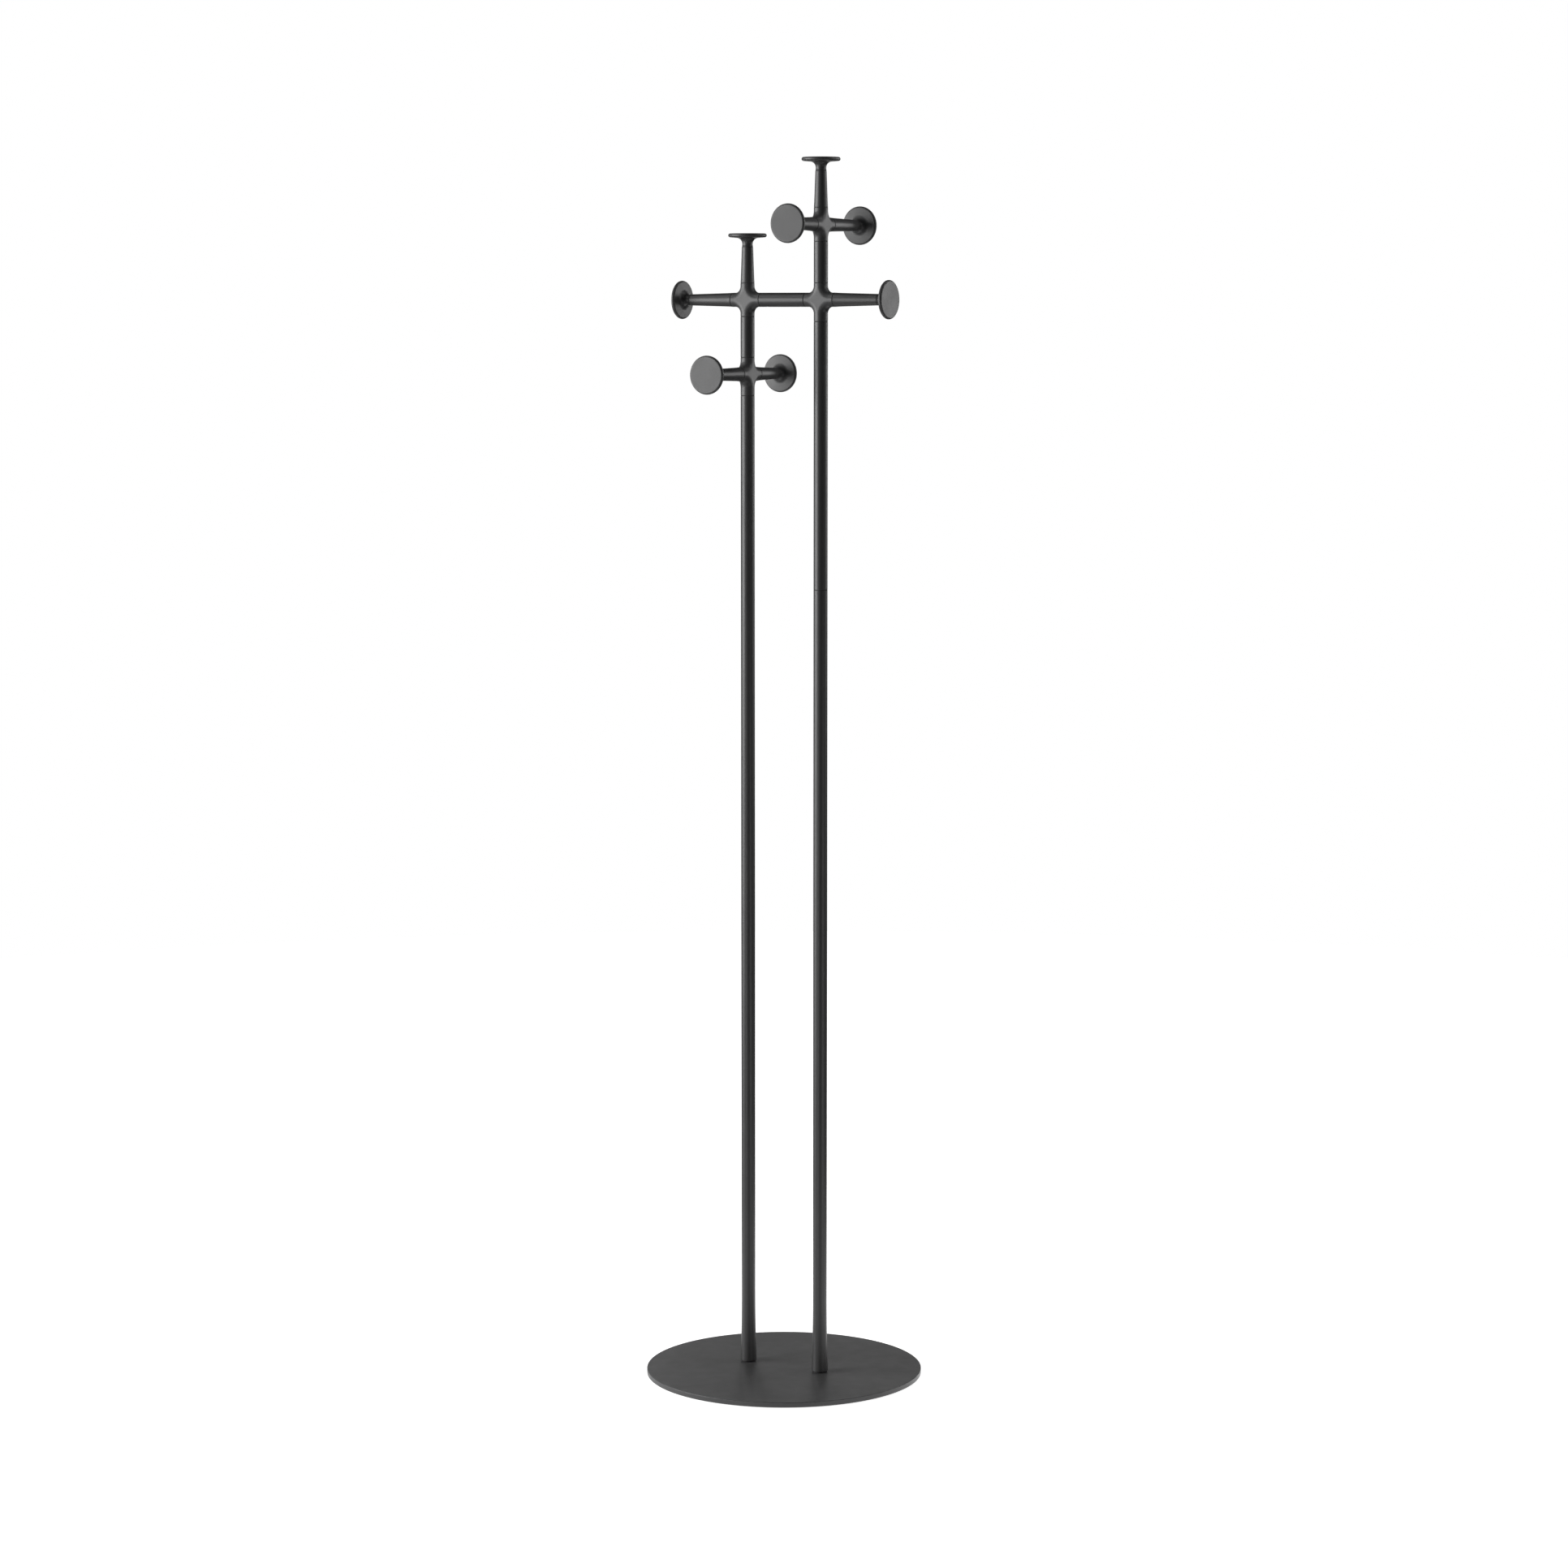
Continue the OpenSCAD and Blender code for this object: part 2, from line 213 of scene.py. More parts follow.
def new_group(name, inputs, output):
    """An empty shader node group with float inputs and one float output: the group's node tree,
    the input node's sockets, and the output node."""
    tree = bpy.data.node_groups.new(name, "ShaderNodeTree")
    for title in inputs:
        tree.interface.new_socket(name=title, in_out="INPUT", socket_type="NodeSocketFloat")
    tree.interface.new_socket(name=output, in_out="OUTPUT", socket_type="NodeSocketFloat")
    ends = tree.nodes.new("NodeGroupInput"), tree.nodes.new("NodeGroupOutput")
    return tree, ends[0].outputs, ends[1]


def noise_of(tree, cell, detail=2.0, stretch=None):
    """Noise on the object's own coordinates, with patches about `cell` metres across, drawn out
    along one axis where `stretch` gives each axis its scale."""
    place = add_node(tree, "ShaderNodeTexCoord", {}).outputs["Object"]
    if stretch is not None:
        place = add_node(tree, "ShaderNodeMapping", {"Vector": place, "Scale": stretch}).outputs[0]
    scale = sum_of(tree, 1.0, cell, "DIVIDE")
    return add_node(tree, "ShaderNodeTexNoise",
                    {"Vector": place, "Scale": scale, "Detail": detail}).outputs["Fac"]


def coat_skin_group():
    """Height in metres of a powder coat's skin: the soft orange peel that it cures to, and a
    finer grain on top of it."""
    tree, given, end = new_group(
        "coat_skin", ["Peel Cell", "Peel Depth", "Grain Cell", "Grain Depth"], "Height")
    peel = sum_of(tree, noise_of(tree, given["Peel Cell"]), given["Peel Depth"], "MULTIPLY")
    grain = sum_of(tree, noise_of(tree, given["Grain Cell"]), given["Grain Depth"], "MULTIPLY")
    tree.links.new(sum_of(tree, peel, grain), end.inputs["Height"])
    return tree


def tone_drift_group():
    """Broad soft patches from 0 to 1, for a tone or gloss that isn't quite even."""
    tree, given, end = new_group("tone_drift", ["Patch Size"], "Tone")
    cloud = noise_of(tree, given["Patch Size"], detail=3.0)
    tree.links.new(ranged(tree, cloud, 0.3, 0.7, 0.0, 1.0), end.inputs["Tone"])
    return tree


def rubbed_edge_group():
    """Mask of an edge where the coat is thin and has been rubbed: the mesh's wear attribute where
    it is above 0, broken up by noise."""
    tree, given, end = new_group("rubbed_edge", ["Amount", "Break Size"], "Mask")
    wear = add_node(tree, "ShaderNodeAttribute", {}, attribute_name="wear").outputs["Fac"]
    broken = ranged(tree, noise_of(tree, given["Break Size"], detail=4.0), 0.4, 0.65, 0.25, 1.0)
    worn = sum_of(tree, ranged(tree, wear, 0.0, 1.0, 0.0, 1.0), broken, "MULTIPLY")
    tree.links.new(sum_of(tree, worn, given["Amount"], "MULTIPLY"), end.inputs["Mask"])
    return tree


def seam_dirt_and_shade_group():
    """Mask of the dark line of dirt and shadow in a seam between two pieces: the mesh's wear
    attribute where it is below 0, a little uneven."""
    tree, given, end = new_group("seam_dirt", ["Amount", "Break Size"], "Mask")
    wear = add_node(tree, "ShaderNodeAttribute", {}, attribute_name="wear").outputs["Fac"]
    uneven = ranged(tree, noise_of(tree, given["Break Size"]), 0.3, 0.7, 0.7, 1.0)
    dirt_and_shade = sum_of(tree, ranged(tree, wear, 0.0, -1.0, 0.0, 1.0), uneven, "MULTIPLY")
    tree.links.new(sum_of(tree, dirt_and_shade, given["Amount"], "MULTIPLY"), end.inputs["Mask"])
    return tree


def settled_dust_group():
    """Mask of the thin dust that settles where the surface faces up, in uneven patches."""
    tree, given, end = new_group("settled_dust", ["Amount", "Patch Size"], "Mask")
    normal = add_node(tree, "ShaderNodeNewGeometry", {}).outputs["Normal"]
    up = add_node(tree, "ShaderNodeSeparateXYZ", {0: normal}).outputs["Z"]
    facing_up = ranged(tree, up, 0.35, 1.0, 0.0, 1.0, smooth=True)
    patches = ranged(tree, noise_of(tree, given["Patch Size"], detail=5.0), 0.35, 0.7, 0.2, 1.0)
    dust = sum_of(tree, sum_of(tree, facing_up, patches, "MULTIPLY"), given["Amount"], "MULTIPLY")
    tree.links.new(dust, end.inputs["Mask"])
    return tree


coat_skin = coat_skin_group()
tone_drift = tone_drift_group()
rubbed_edge = rubbed_edge_group()
seam_dirt = seam_dirt_and_shade_group()
settled_dust = settled_dust_group()


def use_group(tree, group, values):
    """A node of that group with its own values, as its one output."""
    return add_node(tree, "ShaderNodeGroup", values, node_tree=group).outputs[0]


def new_material(name):
    """A material with its node tree and its Principled BSDF."""
    material = bpy.data.materials.new(name)
    material.use_nodes = True
    return material, material.node_tree, material.node_tree.nodes["Principled BSDF"]


def shade(colour, factor):
    """A colour with its opacity, made lighter or darker by a factor."""
    return (*(channel * factor for channel in colour), 1.0)


COAT_BLACK = (0.0410, 0.0410, 0.0418)
COAT_RUBBED = (0.110, 0.110, 0.112)
# Near black painted into seams, for their dirt and for the shade that falls in their gaps
SEAM_DIRT_AND_SHADE_BLACK = (0.010, 0.010, 0.010)
DUST_GREY = (0.220, 0.215, 0.205)


def powder_coat(name, tone=1.0, roughness=0.42, peel_cell=0.0028, peel_depth=4e-6,
                grain_depth=0.3e-6, rub=0.25, dust=0.05):
    """Satin black polyester powder coat on metal, about 0.08 mm thick. Its colour and its gloss
    drift in soft patches, its skin is a faint orange peel with a fine grain, its edges are rubbed
    a little lighter and smoother, its seams are painted darker for their dirt and for the shade
    in their gaps, and thin dust lies on what faces up."""
    material, tree, shader = new_material(name)
    drift = use_group(tree, tone_drift, {"Patch Size": 0.09})
    gloss = use_group(tree, tone_drift, {"Patch Size": 0.023})
    rubbed = use_group(tree, rubbed_edge, {"Amount": rub, "Break Size": 0.006})
    # Painted shade: seams are darkened for the shade in their gaps as well as for their dirt
    seam_dirt_and_shade_mask = use_group(tree, seam_dirt, {"Amount": 0.85, "Break Size": 0.004})
    dusty = use_group(tree, settled_dust, {"Amount": dust, "Patch Size": 0.012})
    colour = mixed(tree, drift, shade(COAT_BLACK, tone * 0.93), shade(COAT_BLACK, tone * 1.07))
    colour = mixed(tree, rubbed, colour, shade(COAT_RUBBED, 1.0))
    colour = mixed(tree, dusty, colour, shade(DUST_GREY, 1.0))
    # Seams painted near black, for their dirt and for the shade that falls in them
    colour = mixed(tree, seam_dirt_and_shade_mask, colour, shade(SEAM_DIRT_AND_SHADE_BLACK, 1.0))
    rough = ranged(tree, gloss, 0.0, 1.0, roughness - 0.025, roughness + 0.025)
    rough = sum_of(tree, rough, sum_of(tree, rubbed, -0.08, "MULTIPLY"))
    rough = sum_of(tree, rough, sum_of(tree, dusty, 0.5, "MULTIPLY"))
    rough = sum_of(tree, rough, sum_of(tree, seam_dirt_and_shade_mask, 0.5, "MULTIPLY"))
    skin = use_group(tree, coat_skin, {"Peel Cell": peel_cell, "Peel Depth": peel_depth,
                                       "Grain Cell": 0.0003, "Grain Depth": grain_depth})
    bump = add_node(tree, "ShaderNodeBump", {"Height": skin, "Distance": 1.0, "Strength": 1.0})
    tree.links.new(colour, shader.inputs["Base Color"])
    tree.links.new(rough, shader.inputs["Roughness"])
    tree.links.new(bump.outputs["Normal"], shader.inputs["Normal"])
    return material


plate_low, plate_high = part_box("base_plate")
plate_radius = plate_high.x
plate_bottom, plate_top = plate_low.z, plate_high.z
PLATE_UPPER_EASE = 0.0009
PLATE_LOWER_EASE = 0.0005

left_low, left_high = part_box("left_post")
right_low, right_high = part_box("right_post_lower")
POSTS = [(left_low.x + left_high.x) / 2.0, (right_low.x + right_high.x) / 2.0]
foot_radius = (left_high.x - left_low.x) / 2.0

# The pads lie on a ring of this radius, where the record puts the face that rests on the floor
pad_ring = frame["record"]["mounts"][0]["pos_m"][1]
pad_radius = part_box("floor_pads")[1].y - pad_ring
pad_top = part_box("floor_pads")[1].z
PAD_TURNS = np.radians(30.0 + 60.0 * np.arange(6))
PAD_PLACES = [(pad_ring * math.cos(turn), pad_ring * math.sin(turn), 0.0) for turn in PAD_TURNS]
CLEAR = 0.00005

bolt_low, bolt_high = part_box("base_bolts")
BOLT_RADIUS = 0.004
bolt_head_radius = bolt_high.x - POSTS[1]
BOLT_HOLE_RADIUS = BOLT_RADIUS + 0.0004
SINK_RADIUS = bolt_head_radius + 0.0003
SINK_STEP = 0.0003
SINK_DEPTH = 0.0044
DRILL_OVERRUN = 0.002


def plate_grid():
    """The plate's outline turned about its own axis: a flat underside, an eased lower edge, an
    upright rim, a softer upper edge and a flat top."""
    middle = plate_radius / 2.0
    return turned(outline([
        (0.0, plate_bottom, 0, 0), (middle, plate_bottom, 0, 0),
        (plate_radius, plate_bottom, PLATE_LOWER_EASE, 0.6),
        (plate_radius, plate_top, PLATE_UPPER_EASE, 1.0),
        (middle, plate_top, 0, 0), (0.0, plate_top, 0, 0)], fade=0.0015), 384, (0, 0, 0))


def pad_pocket(place):
    """A round pocket up into the plate, to the height of the pad's top."""
    rows = outline([(0.0, 0.0, 0, 0), (pad_radius + CLEAR, 0.0, 0, 0),
                    (pad_radius + CLEAR, pad_top, 0, 0), (0.0, pad_top, 0, 0)])
    return turned(rows, 64, place)


def countersink(x):
    """A clear hole right through the plate, opening downwards in a cone for the screw's head."""
    step = plate_bottom + SINK_STEP
    rows = outline([
        (0.0, 0.0, 0, 0), (SINK_RADIUS, 0.0, 0, 0), (SINK_RADIUS, step, 0, 0),
        (BOLT_HOLE_RADIUS, step + SINK_DEPTH, 0, 0),
        (BOLT_HOLE_RADIUS, plate_top + DRILL_OVERRUN, 0, 0),
        (0.0, plate_top + DRILL_OVERRUN, 0, 0)])
    return turned(rows, 64, (x, 0, 0))


piece("base_plate", [plate_grid()], powder_coat("plate_coat", peel_cell=0.0032),
      holes=[pad_pocket(place) for place in PAD_PLACES] + [countersink(x) for x in POSTS])

# --- Floor pads ----------------------------------------------------------------------------------
# Six moulded rubber pads, pressed into their pockets. They stand 1 mm below the plate, keep it
# off the floor and stop it sliding; each has an eased rim and a shallow ring moulded in its foot.


def moulded_black(name, colour, roughness, grain_cell, grain_depth):
    """Black rubber or plastic out of a mould: matt, a little uneven in tone, with the mould's
    fine spark-eroded grain."""
    material, tree, shader = new_material(name)
    drift = use_group(tree, tone_drift, {"Patch Size": 0.008})
    skin = use_group(tree, coat_skin, {"Peel Cell": 3 * grain_cell, "Peel Depth": grain_depth,
                                       "Grain Cell": grain_cell, "Grain Depth": grain_depth})
    bump = add_node(tree, "ShaderNodeBump", {"Height": skin, "Distance": 1.0, "Strength": 1.0})
    colour = mixed(tree, drift, shade(colour, 0.85), shade(colour, 1.2))
    rough = ranged(tree, drift, 0.0, 1.0, roughness - 0.05, roughness + 0.05)
    tree.links.new(colour, shader.inputs["Base Color"])
    tree.links.new(rough, shader.inputs["Roughness"])
    tree.links.new(bump.outputs["Normal"], shader.inputs["Normal"])
    return material


def pad_grid(place):
    """A pad's outline turned about its axis: from its middle out past the moulded ring to the
    eased rim, up its side, and back to the middle of its top."""
    groove, groove_depth = pad_radius * 0.55, 0.0004
    rows = outline([
        (0.0, 0.0, 0, 0), (groove - 0.0008, 0.0, 0.0002, 0.4),
        (groove, groove_depth, 0.0004, 0), (groove + 0.0008, 0.0, 0.0002, 0.4),
        (pad_radius, 0.0, 0.0004, 0.8), (pad_radius, pad_top, 0.0002, 0), (0.0, pad_top, 0, 0)],
        steps=4, fade=0.0004)
    return turned(rows, 64, place)


piece("floor_pads", [pad_grid(place) for place in PAD_PLACES],
      moulded_black("pad_rubber", (0.028, 0.028, 0.028), 0.82, 0.0004, 2.2e-5))

# --- Base bolts ----------------------------------------------------------------------------------
# Two M8 countersunk socket screws in black oxide steel. They come up through the plate and the
# washers into the plugs in the post feet, and their heads lie just inside the underside.


def threaded(radius, start, end, pitch, depth, sides=32):
    """Grid rows of a screw thread along an axis: the radius is the outside radius less the depth
    times a triangle wave of (place / pitch - turn), so that the ridge climbs one pitch a turn.
    The thread runs out over one pitch at each end. Gives radius[rows, sides] and place[rows]."""
    place = np.linspace(start, end, int(round((end - start) / pitch * 6)) + 1)
    turn = np.arange(sides) / sides
    phase = (place[:, None] / pitch - turn[None]) % 1.0
    ridge = np.abs(2.0 * phase - 1.0)
    near_end = np.minimum(place - start, end - place) / pitch
    return radius - depth * np.where(near_end[:, None] < 1.0, 1.0, ridge), place


def screw_grid(head_rows, thread, tail_rows, start, direction=(0, 0, 1), socket=()):
    """Grid of a screw: rings for its head, the thread's rows, and rings for its tip. A ring is
    (radius, place). The rings numbered in `socket` are hexagons: at turn t their radius is
    a / cos(t within a sixth - 30 degrees), for a hexagon whose flats lie a from its middle."""
    radius, place = thread
    sides = radius.shape[1]
    turn = np.linspace(0.0, 2.0 * np.pi, sides, endpoint=False)
    hexagon = 1.0 / np.cos((turn + np.pi / 6.0) % (np.pi / 3.0) - np.pi / 6.0)
    head = [r * (hexagon if i in socket else np.ones(sides)) for i, (r, _) in enumerate(head_rows)]
    radii = np.vstack(head + [radius] + [np.full(sides, r) for r, _ in tail_rows])
    places = np.concatenate([[z for _, z in head_rows], place, [z for _, z in tail_rows]])
    along = np.array(direction, float)
    across = np.roll(along, 1)
    spokes = np.cos(turn)[:, None] * across + np.sin(turn)[:, None] * np.cross(along, across)
    points = np.array(start) + places[:, None, None] * along + radii[:, :, None] * spokes[None]
    return points, np.zeros(radii.shape), False, True


def bare_metal(name, colour, metallic, roughness, spread, line_stretch):
    """Machined steel: its colour drifts a little with the plating, and fine tool lines, drawn out
    along one axis, roughen it and stand up as a slight ridge."""
    material, tree, shader = new_material(name)
    drift = use_group(tree, tone_drift, {"Patch Size": 0.006})
    lines = noise_of(tree, 0.0002, detail=3.0, stretch=line_stretch)
    colour = mixed(tree, drift, shade(colour, 1.0 - spread), shade(colour, 1.0 + spread))
    rough = ranged(tree, lines, 0.3, 0.7, roughness - 0.08, roughness + 0.08)
    bump = add_node(tree, "ShaderNodeBump", {"Height": lines, "Distance": 6e-6, "Strength": 1.0})
    tree.links.new(colour, shader.inputs["Base Color"])
    tree.links.new(rough, shader.inputs["Roughness"])
    tree.links.new(bump.outputs["Normal"], shader.inputs["Normal"])
    shader.inputs["Metallic"].default_value = metallic
    return material


M8_PITCH, M8_DEPTH = 0.00125, 0.0007
M5_RADIUS, M5_PITCH, M5_DEPTH = 0.0025, 0.0008, 0.0005
M4_RADIUS, M4_PITCH, M4_DEPTH = 0.002, 0.0007, 0.0004
BOLT_SOCKET = 0.0025
BOLT_SOCKET_DEPTH = 0.003
BOLT_HEAD_BEVEL = 0.0003
BOLT_TIP_BEVEL = 0.0014
black_steel = bare_metal("black_steel", (0.045, 0.046, 0.050), 0.9, 0.42, 0.15, (1.0, 1.0, 0.15))


def base_bolt_grid(x):
    """A countersunk screw along +Z: a hexagon socket in a flat head, a cone down to the shank,
    a thread to the tip, and a bevelled tip."""
    head = bolt_low.z
    shank = head + SINK_DEPTH
    tip = bolt_high.z
    rings = [(0.0, head + BOLT_SOCKET_DEPTH), (BOLT_SOCKET, head + BOLT_SOCKET_DEPTH),
             (BOLT_SOCKET, head + 0.0002), (BOLT_SOCKET + 0.0005, head),
             (bolt_head_radius - BOLT_HEAD_BEVEL, head),
             (bolt_head_radius, head + BOLT_HEAD_BEVEL),
             (BOLT_RADIUS, shank), (BOLT_RADIUS, shank + 0.001)]
    thread = threaded(BOLT_RADIUS, shank + 0.0015, tip - 0.0008, M8_PITCH, M8_DEPTH)
    tail = [(BOLT_RADIUS - M8_DEPTH, tip - 0.0006), (BOLT_RADIUS - BOLT_TIP_BEVEL, tip),
            (0.0, tip)]
    return screw_grid(rings, thread, tail, (x, 0, 0), socket=(1, 2))


piece("base_bolts", [base_bolt_grid(x) for x in POSTS], black_steel)

# --- Foot washers --------------------------------------------------------------------------------
# Two black nylon rings, 2 mm thick and a little smaller than the feet. They part each foot from
# the plate, so that neither coat chips as the screw is done up, and show as a thin dark line.

washer_low, washer_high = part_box("foot_washers")
washer_radius = washer_high.x - POSTS[1]


def washer_grid(x):
    """A washer's outline turned about the post's axis: a flat ring with eased outer edges."""
    inner = BOLT_HOLE_RADIUS
    rows = outline([(inner, washer_low.z, 0, 0), (washer_radius, washer_low.z, 0.0004, 0.3),
                    (washer_radius, washer_high.z, 0.0004, 0.3), (inner, washer_high.z, 0, 0)],
                   closed=True, steps=4, fade=0.0005)
    return turned(rows, 96, (x, 0, 0), closed=True)


piece("foot_washers", [washer_grid(x) for x in POSTS],
      moulded_black("washer_plastic", (0.012, 0.012, 0.013), 0.6, 0.0003, 8e-6))

# --- Posts ---------------------------------------------------------------------------------------
# Drawn steel tubes, 19 mm across with a 1.5 mm wall, powder coated. Each foot is swaged out into
# a slight trumpet. The taller post is in two lengths, with a spigot inside their seam.

tube_radius = (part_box("left_link")[1].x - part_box("left_link")[0].x) / 2.0
TUBE_WALL = 0.0015
FOOT_FLARE = 0.110
FOOT_FLARE_POWER = 2.3
END_EASE = 0.0006
SEAM_FADE = 0.0004
tube_coat = powder_coat("tube_coat", tone=0.95, roughness=0.40)


def seam_dirt_and_shade_level(direction):
    """How dark a seam across that direction is painted, for its dirt and for the shade in its gap:
    an upright joint is pressed shut by the weight on it, and a level one gapes a little."""
    return -0.35 if direction[2] else -1.0


def tube_grid(low, high, start=(0, 0, 0), direction=(0, 0, 1), flare=0.0):
    """A tube's closed outline turned about its axis: up the outside, over the eased ends and
    back down the bore. Its radius grows towards a flared foot by flare times (1 - height /
    FOOT_FLARE) ^ FOOT_FLARE_POWER, and the wall keeps its thickness."""
    even = np.linspace(low, high, max(int((high - low) / 0.04), 2) + 1)[1:-1]
    foot = low + FOOT_FLARE * np.linspace(0.0, 1.0, 25)[1:]
    places = np.concatenate([foot, even[even > foot[-1]]]) if flare else even

    def radius(place):
        rise = np.clip((place - low) / FOOT_FLARE, 0.0, 1.0)
        return tube_radius + flare * (1.0 - rise) ** FOOT_FLARE_POWER

    dirt_and_shade = seam_dirt_and_shade_level(direction)
    outside = [(radius(place), place, 0, 0) for place in places]
    inside = [(radius(place) - TUBE_WALL, place, 0, 0) for place in places[::-1]]
    rows = outline([(radius(low), low, END_EASE, dirt_and_shade), *outside,
                    (tube_radius, high, END_EASE, dirt_and_shade), (tube_radius - TUBE_WALL, high, 0, 0),
                    *inside, (radius(low) - TUBE_WALL, low, 0, 0)],
                   closed=True, steps=4, fade=SEAM_FADE)
    return turned(rows, 96, start, direction, closed=True)


def upright(node, x, flare=0.0):
    """A finished tube along +Z that stands for a CAD node."""
    low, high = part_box(node)
    grid = tube_grid(low.z, high.z, start=(x, 0, 0), flare=flare)
    return piece(node, [grid], tube_coat)


upright("left_post", POSTS[0], flare=foot_radius - tube_radius)
upright("right_post_lower", POSTS[1], flare=foot_radius - tube_radius)
upright("right_post_upper", POSTS[1])

# The plugs pressed into the feet and the spigot inside the seam are plain turned and drawn steel,
# zinc plated, and keep their CAD shapes.
bare_steel = bare_metal("bare_steel", (0.56, 0.57, 0.59), 1.0, 0.34, 0.10, (1.0, 1.0, 4.0))


def plate_with_zinc(node):
    """Gives a CAD node that keeps its shape the finish of zinc-plated steel."""
    frame["nodes"][node].material_slots[0].material = bare_steel


for hidden in ("left_foot_plug", "right_foot_plug", "post_joiner"):
    plate_with_zinc(hidden)

# --- Crosses -------------------------------------------------------------------------------------
# Four cast crosses, two on each post. Round arms run into each other over rounded inner corners,
# and leave a flat four-pointed face on both sides. Two have a spigot for the bar.

CORNER = 0.009
bend = tube_radius + CORNER
THREAD_HOLE = BOLT_RADIUS + CLEAR
BITE = 0.011
SPIGOT = 0.018
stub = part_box("left_lower_cross")[1].y
# Painted light: castings toned 15% lighter than the plain coat, for light the lamps don't give
casting_coat = powder_coat("casting_coat", tone=1.15, roughness=0.43, peel_cell=0.0032,
                           peel_depth=5e-6)


def cross_arm_rows(direction, length, spigot):
    """Outline of one arm of a cross, from the middle of its end to the start of the bend: over a
    threaded hole, or round a spigot, then over the eased end and along the outside."""
    if spigot:
        reduced = tube_radius - TUBE_WALL - CLEAR
        end = [(0.0, length + SPIGOT, 0, 0), (reduced, length + SPIGOT, 0.0008, 0),
               (reduced, length, 0, 0)]
    else:
        end = [(0.0, length - BITE, 0, 0), (THREAD_HOLE, length - BITE, 0, 0),
               (THREAD_HOLE, length, 0, 0)]
    eased = (tube_radius, length, END_EASE, seam_dirt_and_shade_level(direction))
    return outline(end + [eased, (tube_radius, bend, 0, 0)], steps=4, fade=SEAM_FADE)


def cross_quarter(centre, a, b, rows_a, rows_b):
    """Grid of the quarter of a cross between arms a and b. Each row is a section: a half circle
    across an arm, and in the bend the same half circle carried round the corner's own centre, at
    (bend, bend), with a flat strip from its crown out to the quarter's border. At turn t of the
    bend the strip ends bend / max(cos t, sin t) from that centre, on the axis of an arm."""
    normal = np.cross(a, b)
    half = np.linspace(0.5 * np.pi, -0.5 * np.pi, 33)
    strip = np.array([1.0, 2.0 / 3.0, 1.0 / 3.0])
    ring = np.concatenate([0 * strip + half[0], half, 0 * strip + half[-1]])

    def sections(rows, along, beside):
        round_part = np.cos(ring)[:, None] * beside + np.sin(ring)[:, None] * normal
        return rows[:, None, 1:2] * along + rows[:, None, :1] * round_part[None]

    turn = np.linspace(0.0, 0.5 * np.pi, 25)[1:-1, None]
    outwards = -(np.cos(turn) * b + np.sin(turn) * a)
    spare = bend / np.maximum(np.cos(turn), np.sin(turn)) - bend
    distance = np.concatenate([spare * strip, 0 * turn - tube_radius * np.cos(half),
                               spare * strip[::-1]], axis=1) + bend
    height = tube_radius * np.sin(ring)
    corner = bend * (a + b) + distance[:, :, None] * outwards[:, None]
    corner = corner + height[None, :, None] * normal
    points = np.concatenate([sections(rows_a, a, b), corner, sections(rows_b[::-1], b, a)])
    wear = np.concatenate([rows_a[:, 2], 0 * turn[:, 0], rows_b[::-1, 2]])
    return points + centre, np.repeat(wear[:, None], len(ring), axis=1), False, False


def drilled_from_below(x, low, high, radius):
    """A plain upright hole of that radius."""
    rows = outline([(0.0, low, 0, 0), (radius, low, 0, 0), (radius, high, 0, 0), (0.0, high, 0, 0)])
    return turned(rows, 48, (x, 0, 0))


screw_low, screw_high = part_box("bar_screws")
GRUBS = [screw_low.x + M4_RADIUS, screw_high.x - M4_RADIUS]


def cast_cross(node, post, across, spigot_side=0):
    """A finished cross on a post, its level arms along +-across and its upright arms along +-Z.
    Each arm's length comes from the CAD box; a spigot sits on one level arm."""
    low, high = (np.array(corner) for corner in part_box(node))
    centre = np.array([POSTS[post], 0.0, high[2] - stub])
    across, up = np.array(across, float), np.array([0.0, 0.0, 1.0])
    arms = [across, up, -across, -up]
    lengths = [stub, stub, stub, centre[2] - low[2]]
    rows = [cross_arm_rows(arm, length, spigot_side != 0 and i == 1 - spigot_side)
            for i, (arm, length) in enumerate(zip(arms, lengths))]
    grids = [cross_quarter(centre, arms[i], arms[(i + 1) % 4], rows[i], rows[(i + 1) % 4])
             for i in range(4)]
    holes = []
    if spigot_side:
        holes = [drilled_from_below(x, screw_low.z - DRILL_OVERRUN, screw_high.z + 0.0002,
                                    M4_RADIUS + CLEAR) for x in GRUBS[post:post + 1]]
    return piece(node, grids, casting_coat, holes)


cast_cross("left_lower_cross", 0, (0, 1, 0))
cast_cross("left_middle_cross", 0, (1, 0, 0), spigot_side=1)
cast_cross("right_middle_cross", 1, (1, 0, 0), spigot_side=-1)
cast_cross("right_top_cross", 1, (0, 1, 0))

# --- Links and cross bar -------------------------------------------------------------------------
# Short lengths of the posts' own tube. A link stands between the two crosses of each post. The
# bar slips over the spigots of the middle crosses, and a grub screw from below holds each end.

upright("left_link", POSTS[0])
upright("right_link", POSTS[1])

bar_low, bar_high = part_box("cross_bar")
bar_level = (bar_low.z + bar_high.z) / 2.0
piece("cross_bar", [tube_grid(bar_low.x, bar_high.x, (0, 0, bar_level), (1, 0, 0))], tube_coat,
      holes=[drilled_from_below(x, bar_low.z - 0.001, bar_level - 0.006, M4_RADIUS + CLEAR)
             for x in GRUBS])


